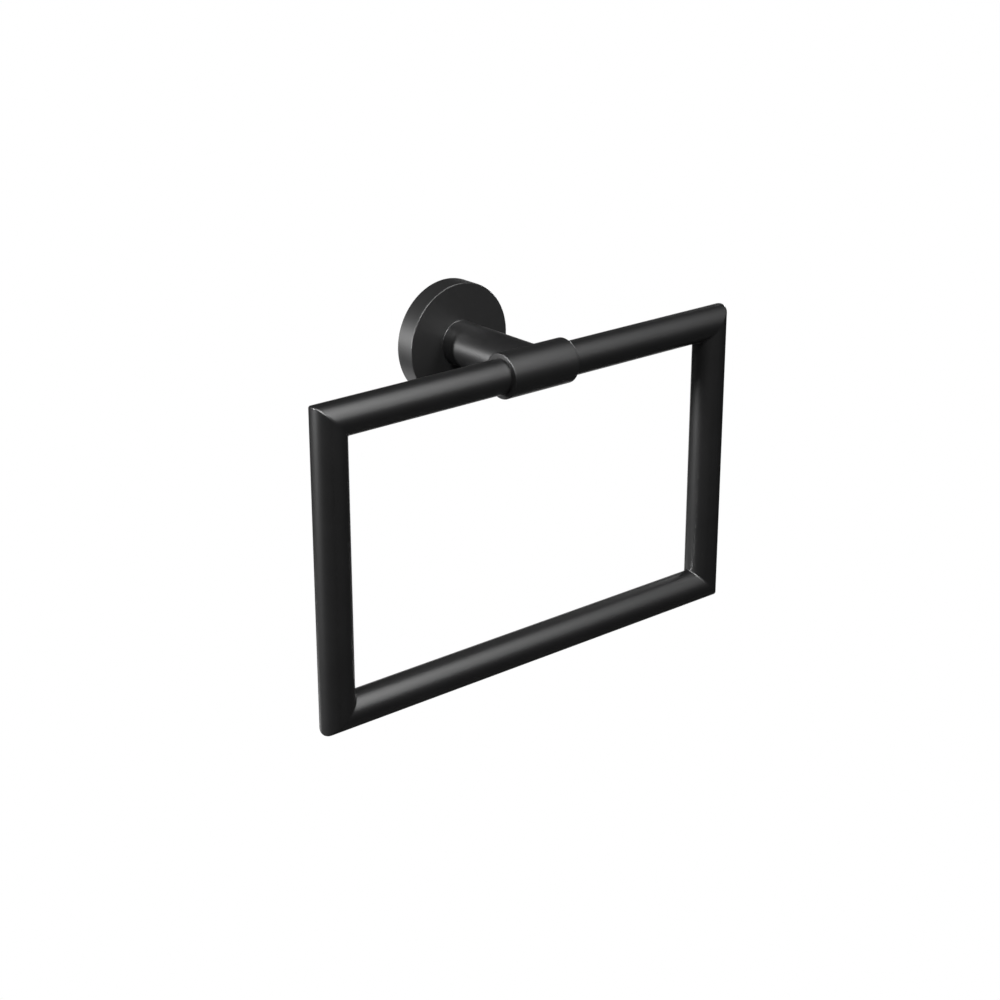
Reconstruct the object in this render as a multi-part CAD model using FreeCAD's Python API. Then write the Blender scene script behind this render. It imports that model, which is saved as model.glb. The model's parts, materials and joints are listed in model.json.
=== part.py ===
import FreeCAD, Part
import math
import os

from FreeCAD import Vector

# Towel ring for a wall: a rectangular ring of round tube with mitred corners, carried by a
# tee-shaped arm on a round hollow flange. A bracket hidden in the flange is screwed to the wall.
# Millimetres. The origin is the centre of the wall face, on the arm's axis. +Z is up, +Y points
# into the wall, and the arm and the ring stand out towards -Y.

# Ring, between the centre lines of its bars
RING_WIDTH = 201.4
RING_HEIGHT = 121.6
TUBE_DIAMETER = 14.5
TUBE_WALL = 1.2
# The mitre joints are dressed flat over a band, of which this is the half on each bar
MITRE_DRESSING = 0.28

# Arm: from the wall to the ring's centre line, and the collar that the top bar passes through
RING_REACH = 55.5
COLLAR_WALL = 2.15
COLLAR_LENGTH = 33.6
COLLAR_CHAMFER = 0.5
BAR_CLEARANCE = 0.05
FOOT_FLARE = 0.4

# Flange: a turned cup, open to the wall
FLANGE_DIAMETER = 50.8
FLANGE_DEPTH = 9.3
FLANGE_CHAMFER = 0.5
FLANGE_RIM_WALL = 3.0
# Rim left between the wall and the hole for the flange's set screw
RIM_BACK_LAND = 1.15

# Bracket on the wall, a mushroom section that the flange's set screw pulls on
BRACKET_SIDE_GAP = 0.4
BRACKET_FRONT_GAP = 1.0
BRACKET_LIP = 1.2
BRACKET_UNDERCUT = 1.5
BRACKET_EDGE_CHAMFER = 0.3
# Slots for the two screws into the wall
SLOT_WIDTH = 4.5
SLOT_TRAVEL = 3.5
SLOT_COUNTERSINK = 1.75

# Screw from inside the flange into the arm, with its washer
ARM_SCREW_DIAMETER = 6.0
ARM_SCREW_LENGTH = 16.0
ARM_SCREW_HEAD_DIAMETER = 10.5
ARM_SCREW_HEAD_HEIGHT = 3.3
ARM_SCREW_HEX = 4.0
ARM_SCREW_HEX_DEPTH = 1.8
ARM_SCREW_END_CHAMFER = 0.6
DRILL_POINT_HALF_ANGLE = 59
WASHER_DIAMETER = 12.5
WASHER_THICKNESS = 1.6
WASHER_CLEARANCE = 0.2
HEAD_ROOM = 1.25
TAPPED_HOLE_SPARE = 1.5

# Spigot on the arm's foot, which centres the arm in the flange
SPIGOT_WALL = 1.5
SPIGOT_SHORTFALL = 0.5
SPIGOT_CLEARANCE = 0.05

# Two set screws: a cone point in the flange's rim, a dog point in the collar
SET_SCREW_DIAMETER = 4.0
SET_SCREW_HEX = 2.0
SET_SCREW_HEX_DEPTH = 1.4
SET_SCREW_RECESS = 0.25
CONE_POINT_FLAT = 1.0
CONE_POINT_BITE = 0.9
CONE_POINT_GAP = 0.05
DOG_POINT_DIAMETER = 2.5
DOG_POINT_CLEARANCE = 0.1
DOG_POINT_BITE = 0.9
# Screw threads are plain cylinders, held clear of the tapped holes by this much
THREAD_CLEARANCE = 0.05

# Worked out from the sizes above
TUBE_RADIUS = TUBE_DIAMETER / 2
BORE_RADIUS = TUBE_RADIUS + BAR_CLEARANCE
COLLAR_RADIUS = BORE_RADIUS + COLLAR_WALL
ARM_RADIUS = COLLAR_RADIUS
FLANGE_RADIUS = FLANGE_DIAMETER / 2
CUP_RADIUS = FLANGE_RADIUS - FLANGE_RIM_WALL
SET_SCREW_RADIUS = SET_SCREW_DIAMETER / 2
SET_TAPPED_RADIUS = SET_SCREW_RADIUS + THREAD_CLEARANCE
# Depths from the wall: the rim screw's axis, the back of the bracket's lip, its front, the cup
RIM_SCREW_DEPTH = RIM_BACK_LAND + SET_TAPPED_RADIUS
BRACKET_LIP_DEPTH = RIM_SCREW_DEPTH + CONE_POINT_BITE
BRACKET_THICKNESS = BRACKET_LIP_DEPTH + BRACKET_LIP
CUP_DEPTH = BRACKET_THICKNESS + BRACKET_FRONT_GAP
BRACKET_RADIUS = CUP_RADIUS - BRACKET_SIDE_GAP
BRACKET_NECK_RADIUS = BRACKET_RADIUS - BRACKET_UNDERCUT
HEAD_HOLE_RADIUS = max(WASHER_DIAMETER, ARM_SCREW_HEAD_DIAMETER) / 2 + HEAD_ROOM
SLOT_RADIUS = SLOT_WIDTH / 2
SLOT_CENTRE = (HEAD_HOLE_RADIUS + BRACKET_NECK_RADIUS) / 2
ARM_SCREW_RADIUS = ARM_SCREW_DIAMETER / 2
ARM_TAPPED_RADIUS = ARM_SCREW_RADIUS + THREAD_CLEARANCE
SPIGOT_RADIUS = ARM_SCREW_RADIUS + SPIGOT_WALL
SPIGOT_HOLE_RADIUS = SPIGOT_RADIUS + SPIGOT_CLEARANCE
SPIGOT_END = CUP_DEPTH + SPIGOT_SHORTFALL
WASHER_BACK = CUP_DEPTH - WASHER_THICKNESS

ALONG = Vector(1, 0, 0)
INWARD = Vector(0, 1, 0)
OUTWARD = Vector(0, -1, 0)
DOWN = Vector(0, 0, -1)
UP = Vector(0, 0, 1)
WALL_CENTRE = Vector(0, 0, 0)
SAME_PLACE = 1e-6


def turned_on_y(profile):
    """A solid turned about the arm's axis from (radius, depth from the wall) points."""
    points = [Vector(radius, -depth, 0) for radius, depth in profile]
    face = Part.Face(Part.makePolygon(points + points[:1]))
    return face.revolve(WALL_CENTRE, INWARD, 360)


def turned_on_x(profile, centre):
    """A solid turned about the line along X through a centre, from (along, radius) points."""
    points = [centre + Vector(along, radius, 0) for along, radius in profile]
    face = Part.Face(Part.makePolygon(points + points[:1]))
    return face.revolve(centre, ALONG, 360)


def turned_on_z(profile, centre):
    """A solid turned about the upright line through a centre, from (radius, height) points."""
    points = [centre + Vector(radius, 0, height) for radius, height in profile]
    face = Part.Face(Part.makePolygon(points + points[:1]))
    return face.revolve(centre, UP, 360)


def hexagon_prism(across_flats, depth, mouth, direction):
    """A key socket: a hexagonal prism that goes in from its mouth."""
    corner_radius = across_flats / 2 / math.cos(math.radians(30))
    other = direction.cross(ALONG)
    points = []
    for corner in range(6):
        angle = math.radians(60 * corner)
        points.append(
            mouth
            + ALONG * (corner_radius * math.cos(angle))
            + other * (corner_radius * math.sin(angle))
        )
    face = Part.Face(Part.makePolygon(points + points[:1]))
    return face.extrude(direction * depth)


def wall_slot(sign):
    """The tool for the slot on one side of the bracket: straight walls, then a countersink."""
    half_profile = [
        (SLOT_RADIUS, 0),
        (SLOT_RADIUS, BRACKET_THICKNESS - SLOT_COUNTERSINK),
        (SLOT_RADIUS + SLOT_COUNTERSINK, BRACKET_THICKNESS),
    ]
    near_end = Vector(sign * SLOT_CENTRE - SLOT_TRAVEL / 2, 0, 0)
    far_end = near_end + ALONG * SLOT_TRAVEL
    round_end = turned_on_y([(0, 0)] + half_profile + [(0, BRACKET_THICKNESS)])
    upper = [near_end + Vector(0, -depth, height) for height, depth in half_profile]
    lower = [near_end + Vector(0, -depth, -height) for height, depth in reversed(half_profile)]
    section = Part.Face(Part.makePolygon(upper + lower + upper[:1]))
    middle = section.extrude(far_end - near_end)
    return middle.multiFuse([round_end.translated(near_end), round_end.translated(far_end)])


def make_wall_bracket():
    """The disc screwed to the wall, with an undercut edge behind its front lip."""
    disc = turned_on_y(
        [
            (HEAD_HOLE_RADIUS, 0),
            (BRACKET_NECK_RADIUS, 0),
            (BRACKET_NECK_RADIUS, BRACKET_LIP_DEPTH - BRACKET_UNDERCUT),
            (BRACKET_RADIUS, BRACKET_LIP_DEPTH),
            (BRACKET_RADIUS, BRACKET_THICKNESS - BRACKET_EDGE_CHAMFER),
            (BRACKET_RADIUS - BRACKET_EDGE_CHAMFER, BRACKET_THICKNESS),
            (HEAD_HOLE_RADIUS, BRACKET_THICKNESS),
        ]
    )
    return disc.cut([wall_slot(-1), wall_slot(1)]).removeSplitter()


def make_flange():
    """The round cup that covers the bracket, with a bevelled front edge."""
    cup = turned_on_y(
        [
            (CUP_RADIUS, 0),
            (FLANGE_RADIUS, 0),
            (FLANGE_RADIUS, FLANGE_DEPTH - FLANGE_CHAMFER),
            (FLANGE_RADIUS - FLANGE_CHAMFER, FLANGE_DEPTH),
            (SPIGOT_HOLE_RADIUS, FLANGE_DEPTH),
            (SPIGOT_HOLE_RADIUS, CUP_DEPTH),
            (CUP_RADIUS, CUP_DEPTH),
        ]
    )
    rim_hole = Part.makeCylinder(
        SET_TAPPED_RADIUS, FLANGE_DIAMETER, OUTWARD * RIM_SCREW_DEPTH, DOWN
    )
    return cup.cut(rim_hole)


def make_arm():
    """The post and the collar, joined into a tee of one diameter, with the bar's bore."""
    centre = OUTWARD * RING_REACH
    post = turned_on_y(
        [
            (0, SPIGOT_END),
            (SPIGOT_RADIUS, SPIGOT_END),
            (SPIGOT_RADIUS, FLANGE_DEPTH),
            (ARM_RADIUS + FOOT_FLARE, FLANGE_DEPTH),
            (ARM_RADIUS, FLANGE_DEPTH + FOOT_FLARE),
            (ARM_RADIUS, RING_REACH),
            (0, RING_REACH),
        ]
    )
    half = COLLAR_LENGTH / 2
    collar = turned_on_x(
        [
            (-half, 0),
            (-half, COLLAR_RADIUS - COLLAR_CHAMFER),
            (-half + COLLAR_CHAMFER, COLLAR_RADIUS),
            (half - COLLAR_CHAMFER, COLLAR_RADIUS),
            (half, COLLAR_RADIUS - COLLAR_CHAMFER),
            (half, 0),
        ],
        centre,
    )
    bore = Part.makeCylinder(BORE_RADIUS, COLLAR_LENGTH, centre - ALONG * half, ALONG)
    screw_tip = WASHER_BACK + ARM_SCREW_LENGTH
    hole_end = screw_tip + TAPPED_HOLE_SPARE
    drill_point = ARM_TAPPED_RADIUS / math.tan(math.radians(DRILL_POINT_HALF_ANGLE))
    screw_hole = turned_on_y(
        [
            (0, SPIGOT_END),
            (ARM_TAPPED_RADIUS, SPIGOT_END),
            (ARM_TAPPED_RADIUS, hole_end),
            (0, hole_end + drill_point),
        ]
    )
    set_hole = Part.makeCylinder(SET_TAPPED_RADIUS, 2 * COLLAR_RADIUS, centre, DOWN)
    return post.fuse(collar).cut([bore, screw_hole, set_hole]).removeSplitter()


def make_arm_screw():
    """The low-headed screw that clamps the arm to the flange from inside the cup."""
    head_back = WASHER_BACK - ARM_SCREW_HEAD_HEIGHT
    tip = WASHER_BACK + ARM_SCREW_LENGTH
    body = turned_on_y(
        [
            (0, head_back),
            (ARM_SCREW_HEAD_DIAMETER / 2, head_back),
            (ARM_SCREW_HEAD_DIAMETER / 2, WASHER_BACK),
            (ARM_SCREW_RADIUS, WASHER_BACK),
            (ARM_SCREW_RADIUS, tip - ARM_SCREW_END_CHAMFER),
            (ARM_SCREW_RADIUS - ARM_SCREW_END_CHAMFER, tip),
            (0, tip),
        ]
    )
    mouth = OUTWARD * head_back
    return body.cut(hexagon_prism(ARM_SCREW_HEX, ARM_SCREW_HEX_DEPTH, mouth, OUTWARD))


def make_arm_washer():
    """The flat washer between the screw's head and the flange."""
    hole_radius = ARM_SCREW_RADIUS + WASHER_CLEARANCE
    return turned_on_y(
        [
            (hole_radius, WASHER_BACK),
            (WASHER_DIAMETER / 2, WASHER_BACK),
            (WASHER_DIAMETER / 2, CUP_DEPTH),
            (hole_radius, CUP_DEPTH),
        ]
    )


def make_flange_set_screw():
    """The set screw in the underside of the rim, whose cone draws the flange to the wall."""
    centre = OUTWARD * RIM_SCREW_DEPTH
    # The cone and the undercut slope at 45 degrees, and the gap is measured square to them
    point = -(BRACKET_RADIUS - CONE_POINT_BITE + CONE_POINT_GAP * math.sqrt(2))
    point_flat = CONE_POINT_FLAT / 2
    outer_end = -(FLANGE_RADIUS - SET_SCREW_RECESS)
    body = turned_on_z(
        [
            (0, point - point_flat),
            (point_flat, point - point_flat),
            (SET_SCREW_RADIUS, point - SET_SCREW_RADIUS),
            (SET_SCREW_RADIUS, outer_end),
            (0, outer_end),
        ],
        centre,
    )
    mouth = centre + UP * outer_end
    return body.cut(hexagon_prism(SET_SCREW_HEX, SET_SCREW_HEX_DEPTH, mouth, UP))


def make_collar_set_screw():
    """The set screw under the collar, whose point sits in a hole in the top bar."""
    centre = OUTWARD * RING_REACH
    tip = -(TUBE_RADIUS - DOG_POINT_BITE)
    shoulder = -BORE_RADIUS
    outer_end = -(COLLAR_RADIUS - SET_SCREW_RECESS)
    body = turned_on_z(
        [
            (0, tip),
            (DOG_POINT_DIAMETER / 2, tip),
            (DOG_POINT_DIAMETER / 2, shoulder),
            (SET_SCREW_RADIUS, shoulder),
            (SET_SCREW_RADIUS, outer_end),
            (0, outer_end),
        ],
        centre,
    )
    mouth = centre + UP * outer_end
    return body.cut(hexagon_prism(SET_SCREW_HEX, SET_SCREW_HEX_DEPTH, mouth, UP))


def half_space(point, normal, reach):
    """A block that fills the side of a plane that its normal points to, as far as it reaches."""
    block = Part.makeBox(2 * reach, 2 * reach, reach, Vector(-reach, -reach, 0))
    block.Placement = FreeCAD.Placement(point, FreeCAD.Rotation(UP, normal))
    return block


def make_bar(start, end, start_normal, end_normal):
    """One bar of the ring: a tube between two corners, cut on the mitre plane at each.

    Each normal belongs to a mitre plane and points out of the bar. Over the dressed band the
    tube's section runs straight on to the plane, so a joint has a flat band across its outer
    edge and a small flat web in its inner corner.
    """
    axis = (end - start).normalize()
    spare = TUBE_DIAMETER
    base = start - axis * spare
    length = (end - start).Length + 2 * spare
    outer = Part.makeCylinder(TUBE_RADIUS, length, base, axis)
    inner = Part.makeCylinder(TUBE_RADIUS - TUBE_WALL, length, base, axis)
    tube = outer.cut(inner)
    mitres = ((start, start_normal), (end, end_normal))
    for corner, normal in mitres:
        tube = tube.cut(half_space(corner - normal * MITRE_DRESSING, normal, length))
    bands = []
    for corner, normal in mitres:
        for face in tube.Faces:
            centre = face.CenterOfMass
            on_plane = abs((centre - corner).dot(normal) + MITRE_DRESSING) < SAME_PLACE
            if face.Surface.TypeId == "Part::GeomPlane" and on_plane:
                bands.append(face.extrude(normal * MITRE_DRESSING))
    return tube.multiFuse(bands)


def make_ring():
    """The four bars, each between two corners of the ring."""
    top_middle = OUTWARD * RING_REACH
    top_left = top_middle - ALONG * (RING_WIDTH / 2)
    top_right = top_middle + ALONG * (RING_WIDTH / 2)
    bottom_left = top_left + DOWN * RING_HEIGHT
    bottom_right = top_right + DOWN * RING_HEIGHT
    right_up = (UP + ALONG).normalize()
    right_down = (DOWN + ALONG).normalize()
    left_up = right_down * -1
    left_down = right_up * -1
    top_bar = make_bar(top_left, top_right, left_down, right_down)
    point_hole = Part.makeCylinder(
        DOG_POINT_DIAMETER / 2 + DOG_POINT_CLEARANCE,
        TUBE_DIAMETER,
        top_middle,
        DOWN,
    )
    return {
        "ring_top_bar": top_bar.cut(point_hole),
        "ring_bottom_bar": make_bar(bottom_left, bottom_right, left_up, right_up),
        "ring_left_bar": make_bar(bottom_left, top_left, right_down, right_up),
        "ring_right_bar": make_bar(bottom_right, top_right, left_down, left_up),
    }


def main():
    pieces = {
        "wall_bracket": make_wall_bracket(),
        "flange": make_flange(),
        "arm": make_arm(),
        "arm_screw": make_arm_screw(),
        "arm_washer": make_arm_washer(),
        "flange_set_screw": make_flange_set_screw(),
        "collar_set_screw": make_collar_set_screw(),
    }
    pieces.update(make_ring())
    os.makedirs("parts", exist_ok=True)
    for name, shape in pieces.items():
        shape.exportStep("parts/" + name + ".step")
        box = shape.BoundBox
        print(name, len(shape.Solids), "solid", round(shape.Volume, 1), "mm3", box)


main()
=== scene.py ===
import json
import math

import bmesh
import bpy
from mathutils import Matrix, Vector


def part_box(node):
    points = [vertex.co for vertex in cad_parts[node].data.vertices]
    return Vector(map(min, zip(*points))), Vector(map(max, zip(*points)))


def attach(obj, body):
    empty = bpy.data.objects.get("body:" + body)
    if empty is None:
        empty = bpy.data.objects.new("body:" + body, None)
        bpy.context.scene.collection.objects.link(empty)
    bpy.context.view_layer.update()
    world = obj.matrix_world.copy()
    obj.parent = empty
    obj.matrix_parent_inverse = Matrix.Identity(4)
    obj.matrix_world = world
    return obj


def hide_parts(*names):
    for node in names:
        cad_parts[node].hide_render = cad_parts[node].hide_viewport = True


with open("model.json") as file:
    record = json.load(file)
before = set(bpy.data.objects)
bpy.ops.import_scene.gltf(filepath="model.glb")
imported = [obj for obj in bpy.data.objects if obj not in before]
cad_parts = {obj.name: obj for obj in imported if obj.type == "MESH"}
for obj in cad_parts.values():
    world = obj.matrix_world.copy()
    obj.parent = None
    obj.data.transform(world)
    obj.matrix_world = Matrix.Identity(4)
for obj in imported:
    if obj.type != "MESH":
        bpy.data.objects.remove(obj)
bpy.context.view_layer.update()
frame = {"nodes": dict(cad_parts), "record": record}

# Metres, in the frame of the model: the origin is on the wall face, +Z is up, and the ring hangs
# out towards -Y.
MM = 0.001
MICRON = 0.000001
ALONG = Vector((1, 0, 0))
INTO_WALL = Vector((0, 1, 0))
UP = Vector((0, 0, 1))

# Sizes read from the boxes of the nodes
LEFT_LOW, LEFT_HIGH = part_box("ring_left_bar")
RIGHT_LOW, RIGHT_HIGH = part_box("ring_right_bar")
FLANGE_LOW, FLANGE_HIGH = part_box("flange")
ARM_LOW, ARM_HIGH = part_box("arm")
TUBE_RADIUS = (LEFT_HIGH.y - LEFT_LOW.y) / 2
RING_REACH = -(LEFT_HIGH.y + LEFT_LOW.y) / 2
RING_HALF_WIDTH = RIGHT_HIGH.x - TUBE_RADIUS
FLANGE_RADIUS = FLANGE_HIGH.z
FLANGE_DEPTH = -FLANGE_LOW.y
ARM_RADIUS = -ARM_LOW.y - RING_REACH
COLLAR_HALF = ARM_HIGH.x
SPIGOT_END = -ARM_HIGH.y

# Sizes that the boxes don't give. The ring's height, between centre lines, is one of them, because
# the dressed mitres change the boxes of the bars a little.
RING_HEIGHT = 121.6 * MM
TUBE_WALL = 1.2 * MM
CLEARANCE = 0.05 * MM
MITRE_ROUNDING = 0.42 * MM
BORE_RADIUS = TUBE_RADIUS + CLEARANCE
COLLAR_ROUNDING = 0.35 * MM
FOOT_FLARE = 0.4 * MM
SPIGOT_RADIUS = 4.5 * MM
SCREW_HOLE_RADIUS = 3.05 * MM
SCREW_HOLE_END = 22.2 * MM
DRILL_HALF_ANGLE = math.radians(59)
SCREW_HOLE_POINT = SCREW_HOLE_END + SCREW_HOLE_RADIUS / math.tan(DRILL_HALF_ANGLE)
SET_HOLE_RADIUS = 2.05 * MM
POINT_HOLE_RADIUS = 1.35 * MM
FLANGE_ROUNDING = 0.5 * MM
CUP_WALL = 3.0 * MM
CUP_RADIUS = FLANGE_RADIUS - CUP_WALL
CUP_DEPTH = 6.3 * MM
SPIGOT_HOLE_RADIUS = SPIGOT_RADIUS + CLEARANCE
RIM_HOLE_DEPTH = 3.2 * MM
RING_MIDDLE = -INTO_WALL * RING_REACH
RING_CENTRE = RING_MIDDLE - UP * RING_HEIGHT / 2

# Facets round a tube, the arm, the flange and a small hole, and across a rounded edge. The arm's
# number can be divided by four.
TUBE_FACETS = 144
ARM_FACETS = 160
FLANGE_FACETS = 256
HOLE_FACETS = 48
EDGE_FACETS = 6
# A narrow band beside each rounded edge, which keeps the shading of the long face next to it true
EDGE_MARGIN = 0.05 * MM
# The form of the edge over a mitre, from fully rounded at 0 to a flat bevel at 1, and how far
# round that edge the mitre plane lies
MITRE_FLATNESS = 0.6
MITRE_TURN = 0.5
# Edges that turn more than this are shaded sharp, and points nearer than this are in one place
SHARP_TURN = math.radians(25)
SAME_PLACE = 0.1 * MICRON

# Black powder coat: the colour of its darkest and lightest clouds in linear light, its specular
# level, and its roughness on the bars and the arm and, less smooth, on the flange
COAT_DARK = (0.0072, 0.0072, 0.0074)
COAT_LIGHT = (0.0092, 0.0092, 0.0095)
COAT_SPECULAR = 1.0
BAR_COAT_ROUGHNESS = (0.33, 0.39)
FLANGE_COAT_ROUGHNESS = (0.42, 0.48)
# Nearly all of a noise lies between these values
NOISE_LOW = 0.3
NOISE_HIGH = 0.7
# How much longer than wide the streaks of rolled plate are
STREAK_STRETCH = 50

# The camera, fitted to the outlines in the photograph
LENS = 74.919
SENSOR = 36.0
CLIP_NEAR = 10 * MM
CLIP_FAR = 100.0
CAMERA_AZIMUTH = math.radians(-40.1439)
CAMERA_ELEVATION = math.radians(21.2263)
CAMERA_PLACE = Vector((-523.604, -655.997, 252.717)) * MM
VIEW_AXIS = Vector(
    (
        -math.sin(CAMERA_AZIMUTH) * math.cos(CAMERA_ELEVATION),
        math.cos(CAMERA_AZIMUTH) * math.cos(CAMERA_ELEVATION),
        -math.sin(CAMERA_ELEVATION),
    )
)
VIEW_SIDE = VIEW_AXIS.cross(UP).normalized()
VIEW_TOP = VIEW_SIDE.cross(VIEW_AXIS)
FRAME_TANGENT = SENSOR / 2 / LENS

# The studio: floor, backdrop, the grey of their paper and of the room, and the lamps
FLOOR_DROP = 4.5
FLOOR_RADIUS = 40.0
FLOOR_FACETS = 64
BACKDROP_DISTANCE = 4.0
BACKDROP_MARGIN = 1.08
BACKDROP_HALF = BACKDROP_DISTANCE * FRAME_TANGENT * BACKDROP_MARGIN
PAPER_GREY = 0.3
PAPER_ROUGHNESS = 0.8
ROOM_GREY = 0.02
# Each lamp's direction as seen from the ring, its level, its width and its height
LAMPS = {
    "left_lamp": ((-0.88, 0.45, 0.12), 1.05, 0.1, 0.3),
    "edge_lamp_high": ((-0.58, -0.12, 0.81), 0.32, 0.3, 0.3),
    "edge_lamp_middle": ((-0.51, -0.50, 0.70), 0.5, 0.3, 0.3),
    "edge_lamp_low": ((-0.32, -0.78, 0.54), 0.25, 0.3, 0.3),
    "right_lamp": ((0.86, 0.49, 0.10), 0.4, 0.3, 0.3),
    "rear_lamp": ((-0.10, 0.78, -0.62), 0.07, 0.6, 0.6),
}
LAMP_DISTANCE = 1.4
# An arch of round lamps in front and overhead: the level at each elevation in degrees, how far
# the arch stands to the right, and the distance and width of its lamps
ARCH_LEVELS = {24: 0.11, 39: 0.13, 54: 0.17, 69: 0.15, 84: 0.10}
ARCH_SIDE = 0.37
ARCH_DISTANCE = 3.0
ARCH_WIDTH = 0.86


# Shapes


def bridge(bm, first, second):
    """Faces between two closed loops with as many points each."""
    for index in range(len(first)):
        after = (index + 1) % len(first)
        bm.faces.new((first[index], first[after], second[after], second[index]))


def loop_round(bm, centre, axis, radius, facets):
    """A closed loop of points round an axis, from the top, or an upright one's wall side."""
    start = INTO_WALL if axis == UP else UP
    side = axis.cross(start)
    loop = []
    for step in range(facets):
        angle = 2 * math.pi * step / facets
        offset = start * math.cos(angle) + side * math.sin(angle)
        loop.append(bm.verts.new(centre + offset * radius))
    return loop


def finish_mesh(bm, name):
    """Closes a mesh into an object with its faces smooth and turned outward."""
    bmesh.ops.recalc_face_normals(bm, faces=bm.faces)
    for face in bm.faces:
        face.smooth = True
    mesh = bpy.data.meshes.new(name)
    bm.to_mesh(mesh)
    bm.free()
    piece = bpy.data.objects.new(name, mesh)
    bpy.context.scene.collection.objects.link(piece)
    return piece


def cut_hole(piece, start, radius, length):
    """Cuts a round hole that runs straight down from a point."""
    bm = bmesh.new()
    top = loop_round(bm, start, UP, radius, HOLE_FACETS)
    bottom = loop_round(bm, start - UP * length, UP, radius, HOLE_FACETS)
    bridge(bm, top, bottom)
    bm.faces.new(top)
    bm.faces.new(bottom)
    cutter = finish_mesh(bm, "cutter")
    modifier = piece.modifiers.new("hole", "BOOLEAN")
    modifier.operation = "DIFFERENCE"
    modifier.solver = "EXACT"
    modifier.object = cutter
    evaluated = piece.evaluated_get(bpy.context.evaluated_depsgraph_get())
    drilled = bpy.data.meshes.new_from_object(evaluated)
    piece.modifiers.clear()
    piece.data = drilled
    bpy.data.objects.remove(cutter)


def sharpen(piece, is_crease=lambda edge: False):
    """Marks the edges where two surfaces meet, so that each surface is smooth up to its edge."""
    bm = bmesh.new()
    bm.from_mesh(piece.data)
    for edge in bm.edges:
        turn = edge.calc_face_angle(0.0)
        edge.smooth = turn < SHARP_TURN and not is_crease(edge)
    bm.to_mesh(piece.data)
    bm.free()


def rounded_edge(radius):
    """Steps over a rounded right-angled edge: the depth of each under the first and second side."""
    steps = []
    for step in range(EDGE_FACETS + 1):
        angle = math.pi / 2 * step / EDGE_FACETS
        steps.append((radius * (1 - math.cos(angle)), radius * (1 - math.sin(angle))))
    return steps


def bar_loop(bm, corner, axis, normal, radius, rounding, turn):
    """A loop of a tube's skin, from where its edge starts at turn 0 to its mitre at MITRE_TURN."""
    loop = []
    side = axis.cross(INTO_WALL)
    for step in range(TUBE_FACETS):
        angle = 2 * math.pi * step / TUBE_FACETS
        offset = (INTO_WALL * math.cos(angle) + side * math.sin(angle)) * radius
        edge = offset - axis * (offset.dot(normal) / axis.dot(normal))
        before = edge - axis * (rounding / axis.dot(normal))
        beyond = before + normal * 2 * rounding
        rounded = before * (1 - turn) ** 2 + edge * 2 * turn * (1 - turn) + beyond * turn**2
        flat = before.lerp(beyond, turn)
        point = rounded.lerp(flat, MITRE_FLATNESS)
        loop.append(bm.verts.new(corner + point))
    return loop


def make_bar(node, start, end, start_normal, end_normal):
    """A mitred tube between two corners of the ring. The normals point out of it."""
    axis = (end - start).normalized()
    turns = [MITRE_TURN * step / EDGE_FACETS for step in range(EDGE_FACETS + 1)]
    margin = MITRE_ROUNDING + EDGE_MARGIN
    bore = TUBE_RADIUS - TUBE_WALL
    bm = bmesh.new()
    outer = []
    for turn in reversed(turns):
        outer.append(bar_loop(bm, start, axis, start_normal, TUBE_RADIUS, MITRE_ROUNDING, turn))
    outer.append(bar_loop(bm, start, axis, start_normal, TUBE_RADIUS, margin, 0.0))
    outer.append(bar_loop(bm, end, axis, end_normal, TUBE_RADIUS, margin, 0.0))
    for turn in turns:
        outer.append(bar_loop(bm, end, axis, end_normal, TUBE_RADIUS, MITRE_ROUNDING, turn))
    for first, second in zip(outer, outer[1:]):
        bridge(bm, first, second)
    inner_start = bar_loop(bm, start, axis, start_normal, bore, 0.0, MITRE_TURN)
    inner_end = bar_loop(bm, end, axis, end_normal, bore, 0.0, MITRE_TURN)
    bridge(bm, inner_start, inner_end)
    bridge(bm, outer[0], inner_start)
    bridge(bm, outer[-1], inner_end)
    piece = finish_mesh(bm, node + "_coated")
    if node == "ring_top_bar":
        cut_hole(piece, RING_MIDDLE, POINT_HOLE_RADIUS, 2 * TUBE_RADIUS)
    sharpen(piece)
    return piece


def make_ring():
    """The four bars of the ring."""
    top_left = RING_MIDDLE - ALONG * RING_HALF_WIDTH
    top_right = RING_MIDDLE + ALONG * RING_HALF_WIDTH
    bottom_left = top_left - UP * RING_HEIGHT
    bottom_right = top_right - UP * RING_HEIGHT
    right_up = (ALONG + UP).normalized()
    right_down = (ALONG - UP).normalized()
    spans = {
        "ring_top_bar": (top_left, top_right, -right_up, right_down),
        "ring_bottom_bar": (bottom_left, bottom_right, -right_down, right_up),
        "ring_left_bar": (bottom_left, top_left, right_down, right_up),
        "ring_right_bar": (bottom_right, top_right, -right_up, -right_down),
    }
    return {node: make_bar(node, *span) for node, span in spans.items()}


def tee_crease(bm):
    """The crossed crease where collar and post meet, as a loop from the top over the right side."""
    crease = []
    for step in range(ARM_FACETS):
        angle = 2 * math.pi * step / ARM_FACETS
        across = ARM_RADIUS * math.sin(angle)
        height = ARM_RADIUS * math.cos(angle)
        point = RING_MIDDLE + ALONG * across + INTO_WALL * abs(across) + UP * height
        crease.append(bm.verts.new(point))
    return crease


def on_crease(edge):
    """Whether an edge of the arm lies on the crossed crease."""
    for vertex in edge.verts:
        place = vertex.co - RING_MIDDLE
        off_crease = abs(abs(place.x) - place.y)
        off_skin = abs(math.hypot(place.x, place.z) - ARM_RADIUS)
        if off_crease > SAME_PLACE or off_skin > SAME_PLACE:
            return False
    return True


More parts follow.
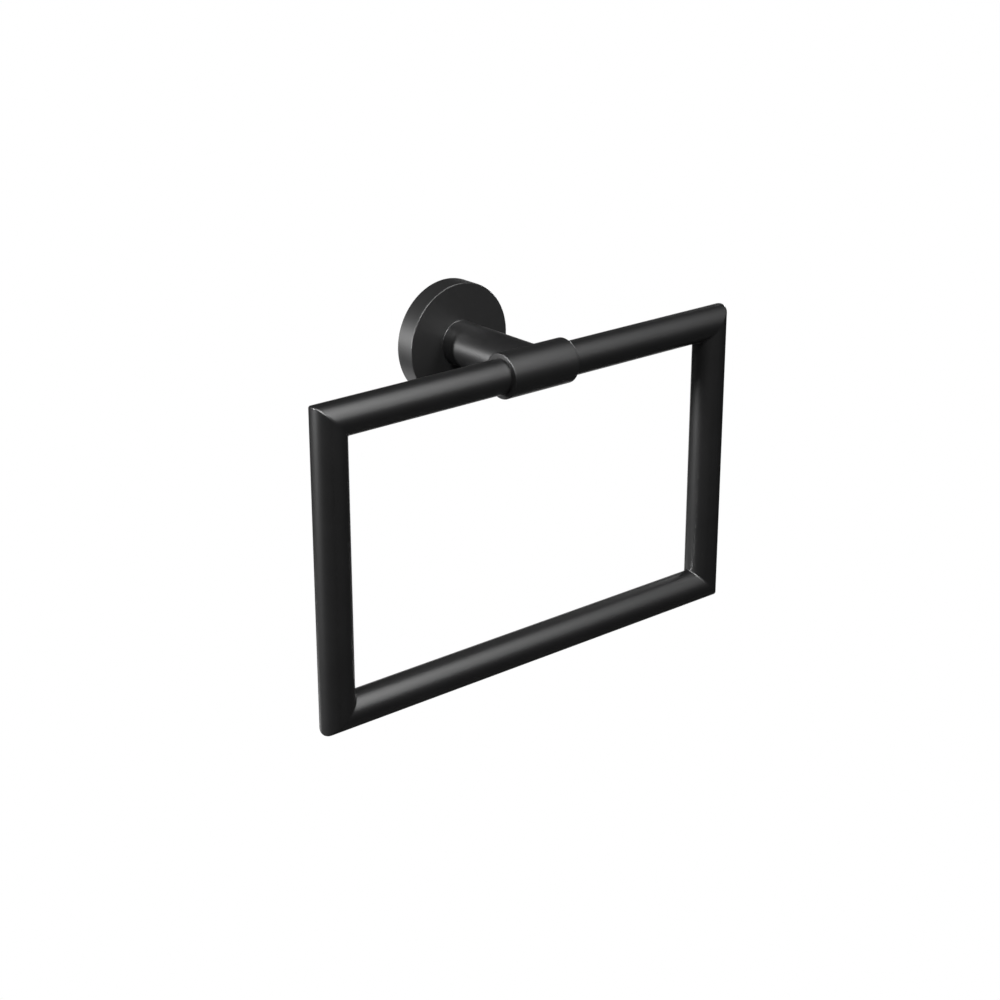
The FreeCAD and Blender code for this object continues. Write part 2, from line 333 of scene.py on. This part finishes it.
def collar_skin(bm, crease, left, right):
    """Faces between the loops at the collar's ends, which stop at the crease on the wall's side."""
    half = ARM_FACETS // 2
    for step in range(half):
        after = step + 1
        mirror, mirror_after = -step % ARM_FACETS, -after % ARM_FACETS
        bm.faces.new((crease[step], crease[after], right[after], right[step]))
        bm.faces.new((crease[mirror_after], crease[mirror], left[step], left[after]))
    # The two faces beside the crease's lowest and highest points take those points in
    for step in range(half, ARM_FACETS):
        after = (step + 1) % ARM_FACETS
        corners = [left[step], right[step], right[after], left[after]]
        if step == half:
            corners.insert(1, crease[half])
        if after == 0:
            corners.insert(3, crease[0])
        bm.faces.new(corners)


def make_arm():
    """The tee: a collar along X and a post along Y of one radius, which meet in a crossed crease."""
    bm = bmesh.new()

    def collar_loop(along, radius):
        """Points round the collar's axis, which go from the top over the wall's side."""
        return loop_round(bm, RING_MIDDLE + ALONG * along, -ALONG, radius, ARM_FACETS)

    def post_loop(depth, radius):
        """Points round the post's axis, which go from the top over the right side."""
        return loop_round(bm, -INTO_WALL * depth, INTO_WALL, radius, ARM_FACETS)

    crease = tee_crease(bm)
    long_end = COLLAR_HALF - COLLAR_ROUNDING - EDGE_MARGIN
    left = collar_loop(-long_end, ARM_RADIUS)
    right = collar_loop(long_end, ARM_RADIUS)
    collar_skin(bm, crease, left, right)

    mouths = []
    for last, sign in ((left, -1), (right, 1)):
        for across, along in rounded_edge(COLLAR_ROUNDING):
            rim = collar_loop(sign * (COLLAR_HALF - along), ARM_RADIUS - across)
            bridge(bm, last, rim)
            last = rim
        mouths.append(collar_loop(sign * COLLAR_HALF, BORE_RADIUS))
        bridge(bm, last, mouths[-1])
    bridge(bm, mouths[0], mouths[1])

    post = [crease, post_loop(FLANGE_DEPTH + FOOT_FLARE + EDGE_MARGIN, ARM_RADIUS)]
    for across, along in rounded_edge(FOOT_FLARE):
        post.append(post_loop(FLANGE_DEPTH + along, ARM_RADIUS + across))
    post += [
        post_loop(FLANGE_DEPTH, SPIGOT_RADIUS),
        post_loop(SPIGOT_END, SPIGOT_RADIUS),
        post_loop(SPIGOT_END, SCREW_HOLE_RADIUS),
        post_loop(SCREW_HOLE_END, SCREW_HOLE_RADIUS),
    ]
    for first, second in zip(post, post[1:]):
        bridge(bm, first, second)
    drill_point = bm.verts.new(-INTO_WALL * SCREW_HOLE_POINT)
    for step in range(ARM_FACETS):
        after = (step + 1) % ARM_FACETS
        bm.faces.new((post[-1][step], post[-1][after], drill_point))

    piece = finish_mesh(bm, "arm_coated")
    cut_hole(piece, RING_MIDDLE, SET_HOLE_RADIUS, 2 * ARM_RADIUS)
    sharpen(piece, on_crease)
    return piece


def make_flange():
    """The turned cup, open to the wall, with its rounded front edge and the hole in its rim."""
    margin = FLANGE_ROUNDING + EDGE_MARGIN
    profile = [(CUP_RADIUS, 0.0), (FLANGE_RADIUS, 0.0), (FLANGE_RADIUS, FLANGE_DEPTH - margin)]
    for across, along in rounded_edge(FLANGE_ROUNDING):
        profile.append((FLANGE_RADIUS - across, FLANGE_DEPTH - along))
    profile += [
        (FLANGE_RADIUS - margin, FLANGE_DEPTH),
        (SPIGOT_HOLE_RADIUS, FLANGE_DEPTH),
        (SPIGOT_HOLE_RADIUS, CUP_DEPTH),
        (CUP_RADIUS, CUP_DEPTH),
    ]
    bm = bmesh.new()
    loops = []
    for radius, depth in profile:
        loops.append(loop_round(bm, -INTO_WALL * depth, INTO_WALL, radius, FLANGE_FACETS))
    for first, second in zip(loops, loops[1:] + loops[:1]):
        bridge(bm, first, second)
    piece = finish_mesh(bm, "flange_coated")
    cut_hole(piece, -INTO_WALL * RIM_HOLE_DEPTH, SET_HOLE_RADIUS, 2 * FLANGE_RADIUS)
    sharpen(piece)
    return piece


# Materials


def add_node(tree, kind, **settings):
    """A shader node. A setting names a property, or a socket with _ for a space."""
    node = tree.nodes.new(kind)
    for name, value in settings.items():
        if hasattr(node, name):
            setattr(node, name, value)
        else:
            node.inputs[name.replace("_", " ")].default_value = value
    return node


def new_material(name):
    """A material with its tree and its main shader."""
    material = bpy.data.materials.new(name)
    material.use_nodes = True
    tree = material.node_tree
    return material, tree, tree.nodes["Principled BSDF"]


def add_place(tree):
    """The place of each point in the object's own space, in metres."""
    return add_node(tree, "ShaderNodeTexCoord").outputs["Object"]


def add_noise(tree, place, grain, detail=2.0):
    """Cloudy noise from 0 to 1 whose spots are about a grain across."""
    noise = add_node(tree, "ShaderNodeTexNoise", Scale=1 / grain, Detail=detail)
    tree.links.new(place, noise.inputs["Vector"])
    return noise.outputs["Fac"]


def spread(tree, value, into, low, high):
    """Feeds a socket with a noise value stretched between two numbers."""
    stretch = add_node(
        tree,
        "ShaderNodeMapRange",
        From_Min=NOISE_LOW,
        From_Max=NOISE_HIGH,
        To_Min=low,
        To_Max=high,
    )
    tree.links.new(value, stretch.inputs["Value"])
    tree.links.new(stretch.outputs["Result"], into)


def tint(tree, value, into, dark, light):
    """Feeds a colour socket with a noise value stretched between two colours."""
    ramp = add_node(tree, "ShaderNodeValToRGB")
    dark_end, light_end = ramp.color_ramp.elements
    dark_end.position = NOISE_LOW
    dark_end.color = (*dark, 1)
    light_end.position = NOISE_HIGH
    light_end.color = (*light, 1)
    tree.links.new(value, ramp.inputs["Fac"])
    tree.links.new(ramp.outputs["Color"], into)


def add_bumps(tree, shader, layers):
    """Chains height layers, each a value and its full height, into the shader's normal."""
    normal = None
    for value, height in layers:
        bump = add_node(tree, "ShaderNodeBump", Distance=height)
        tree.links.new(value, bump.inputs["Height"])
        if normal:
            tree.links.new(normal, bump.inputs["Normal"])
        normal = bump.outputs["Normal"]
    tree.links.new(normal, shader.inputs["Normal"])


def powder_coat(name, roughness):
    """Baked-on black powder coat: a slow orange peel under a fine grain."""
    material, tree, shader = new_material(name)
    place = add_place(tree)
    peel = add_noise(tree, place, 1.6 * MM)
    grain = add_noise(tree, place, 0.16 * MM, detail=3.0)
    clouds = add_noise(tree, place, 14 * MM)
    tint(tree, clouds, shader.inputs["Base Color"], COAT_DARK, COAT_LIGHT)
    spread(tree, grain, shader.inputs["Roughness"], *roughness)
    shader.inputs["Specular IOR Level"].default_value = COAT_SPECULAR
    add_bumps(tree, shader, ((peel, 4 * MICRON), (grain, 1 * MICRON)))
    return material


def black_oxide():
    """Thin black oxide on hardened steel, a little cloudy and oily."""
    material, tree, shader = new_material("black_oxide")
    colour, roughness = shader.inputs["Base Color"], shader.inputs["Roughness"]
    place = add_place(tree)
    clouds = add_noise(tree, place, 1.2 * MM)
    grain = add_noise(tree, place, 0.08 * MM, detail=3.0)
    tint(tree, clouds, colour, dark=(0.024, 0.024, 0.027), light=(0.036, 0.036, 0.038))
    spread(tree, clouds, roughness, low=0.30, high=0.42)
    add_bumps(tree, shader, ((grain, 1.5 * MICRON),))
    return material


def rolled_zinc():
    """Zinc plating on rolled plate: long fine streaks along X under a soft spangle."""
    material, tree, shader = new_material("rolled_zinc")
    colour, roughness = shader.inputs["Base Color"], shader.inputs["Roughness"]
    place = add_place(tree)
    stretched = add_node(tree, "ShaderNodeMapping", Scale=(1 / STREAK_STRETCH, 1, 1))
    tree.links.new(place, stretched.inputs["Vector"])
    streaks = add_noise(tree, stretched.outputs["Vector"], 0.12 * MM, detail=3.0)
    spangle = add_noise(tree, place, 3.5 * MM)
    tint(tree, spangle, colour, dark=(0.52, 0.53, 0.55), light=(0.60, 0.61, 0.62))
    spread(tree, streaks, roughness, low=0.28, high=0.44)
    shader.inputs["Metallic"].default_value = 1.0
    add_bumps(tree, shader, ((streaks, 1.5 * MICRON), (spangle, 2 * MICRON)))
    return material


def turned_steel():
    """Bare steel turned about the arm's axis, with fine rings."""
    material, tree, shader = new_material("turned_steel")
    colour, roughness = shader.inputs["Base Color"], shader.inputs["Roughness"]
    place = add_place(tree)
    flat = add_node(tree, "ShaderNodeVectorMath", operation="MULTIPLY")
    flat.inputs[1].default_value = ALONG + UP
    tree.links.new(place, flat.inputs[0])
    off_axis = add_node(tree, "ShaderNodeVectorMath", operation="LENGTH")
    tree.links.new(flat.outputs["Vector"], off_axis.inputs[0])
    rings = add_node(tree, "ShaderNodeTexNoise", noise_dimensions="1D", Scale=1 / (0.15 * MM))
    tree.links.new(off_axis.outputs["Value"], rings.inputs["W"])
    grooves = rings.outputs["Fac"]
    clouds = add_noise(tree, place, 2 * MM)
    tint(tree, clouds, colour, dark=(0.58, 0.58, 0.57), light=(0.66, 0.66, 0.65))
    spread(tree, grooves, roughness, low=0.22, high=0.36)
    shader.inputs["Metallic"].default_value = 1.0
    add_bumps(tree, shader, ((grooves, 2 * MICRON),))
    return material


def show_white(tree, output, plain, white, seen_by):
    """Feeds an output with a white shader for rays of some kinds, and a plain one for the rest."""
    rays = add_node(tree, "ShaderNodeLightPath").outputs
    seen = rays[seen_by[0]]
    for kind in seen_by[1:]:
        either = add_node(tree, "ShaderNodeMath", operation="MAXIMUM")
        tree.links.new(seen, either.inputs[0])
        tree.links.new(rays[kind], either.inputs[1])
        seen = either.outputs["Value"]
    blend = add_node(tree, "ShaderNodeMixShader")
    tree.links.new(seen, blend.inputs["Fac"])
    tree.links.new(plain, blend.inputs[1])
    tree.links.new(white, blend.inputs[2])
    tree.links.new(blend.outputs["Shader"], tree.nodes[output].inputs["Surface"])


def matt_paper(name, seen_by):
    """Matt grey paper that rays of some kinds see white."""
    material, tree, shader = new_material(name)
    shader.inputs["Base Color"].default_value = (PAPER_GREY, PAPER_GREY, PAPER_GREY, 1)
    shader.inputs["Roughness"].default_value = PAPER_ROUGHNESS
    white = add_node(tree, "ShaderNodeEmission").outputs["Emission"]
    show_white(tree, "Material Output", shader.outputs["BSDF"], white, seen_by)
    return material


# Camera and studio


def make_camera():
    """The photograph's view: a lens of about 75 mm, a little above and to the left."""
    data = bpy.data.cameras.new("camera")
    data.sensor_width = SENSOR
    data.lens = LENS
    data.clip_start = CLIP_NEAR
    data.clip_end = CLIP_FAR
    camera = bpy.data.objects.new("camera", data)
    bpy.context.scene.collection.objects.link(camera)
    camera.rotation_mode = "QUATERNION"
    camera.rotation_quaternion = VIEW_AXIS.to_track_quat("-Z", "Y")
    camera.location = CAMERA_PLACE
    bpy.context.scene.camera = camera


def make_world():
    """A plain dim grey room, which the camera sees white."""
    world = bpy.data.worlds.new("studio")
    world.use_nodes = True
    tree = world.node_tree
    room = tree.nodes["Background"]
    room.inputs["Color"].default_value = (ROOM_GREY, ROOM_GREY, ROOM_GREY, 1)
    white = add_node(tree, "ShaderNodeBackground", Color=(1, 1, 1, 1)).outputs["Background"]
    show_white(tree, "World Output", room.outputs["Background"], white, ("Is Camera Ray",))
    bpy.context.scene.world = world


def make_floor():
    """A plain floor well below the ring, which the camera sees white."""
    bm = bmesh.new()
    bm.faces.new(loop_round(bm, -UP * FLOOR_DROP, UP, FLOOR_RADIUS, FLOOR_FACETS))
    floor = finish_mesh(bm, "floor")
    floor.data.materials.append(matt_paper("floor_paper", ("Is Camera Ray",)))


def make_backdrop():
    """A card behind the object that fills the photograph's frame, white in reflections too."""
    bm = bmesh.new()
    middle = CAMERA_PLACE + VIEW_AXIS * BACKDROP_DISTANCE
    corners = []
    for side, top in ((-1, -1), (1, -1), (1, 1), (-1, 1)):
        offset = (VIEW_SIDE * side + VIEW_TOP * top) * BACKDROP_HALF
        corners.append(bm.verts.new(middle + offset))
    bm.faces.new(corners)
    backdrop = finish_mesh(bm, "backdrop")
    seen_by = ("Is Camera Ray", "Is Glossy Ray", "Is Transmission Ray")
    backdrop.data.materials.append(matt_paper("backdrop_paper", seen_by))


def make_lamp(name, towards, level, distance, width, height):
    """A round or oval lamp in a direction. At level 1 a white card that faces it is just white."""
    data = bpy.data.lights.new(name, "AREA")
    data.shape = "ELLIPSE"
    data.size = width
    data.size_y = height
    data.energy = level * (math.pi * distance) ** 2
    lamp = bpy.data.objects.new(name, data)
    bpy.context.scene.collection.objects.link(lamp)
    direction = Vector(towards).normalized()
    lamp.location = RING_CENTRE + direction * distance
    lamp.rotation_mode = "QUATERNION"
    lamp.rotation_quaternion = direction.to_track_quat("Z", "Y")


def make_lamps():
    """Lamps at the left, for the edges, at the right and behind, and the arch of soft ones."""
    for name, (towards, level, width, height) in LAMPS.items():
        make_lamp(name, towards, level, LAMP_DISTANCE, width, height)
    for elevation, level in ARCH_LEVELS.items():
        angle = math.radians(elevation)
        towards = (ARCH_SIDE, -math.cos(angle), math.sin(angle))
        name = "arch_lamp_%d" % elevation
        make_lamp(name, towards, level, ARCH_DISTANCE, ARCH_WIDTH, ARCH_WIDTH)


def build_object():
    """Puts a dressed piece in place of each coated node, and finishes on the nodes that stay."""
    bar_coat = powder_coat("satin_black_coat", BAR_COAT_ROUGHNESS)
    flange_coat = powder_coat("matt_black_coat", FLANGE_COAT_ROUGHNESS)
    pieces = make_ring()
    pieces["arm"] = make_arm()
    pieces["flange"] = make_flange()
    for node, piece in pieces.items():
        piece.data.materials.append(flange_coat if node == "flange" else bar_coat)
        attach(piece, "root")
        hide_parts(node)
    finishes = {
        "bracket_steel": rolled_zinc(),
        "screw_steel": turned_steel(),
        "black_screw_steel": black_oxide(),
    }
    for part in frame["record"]["subparts"]:
        if part["node"] not in pieces:
            node = frame["nodes"][part["node"]]
            node.data.materials.clear()
            node.data.materials.append(finishes[part["material_slot"]])


build_object()
make_camera()
make_world()
make_floor()
make_backdrop()
make_lamps()
bpy.context.scene.view_settings.view_transform = "Standard"
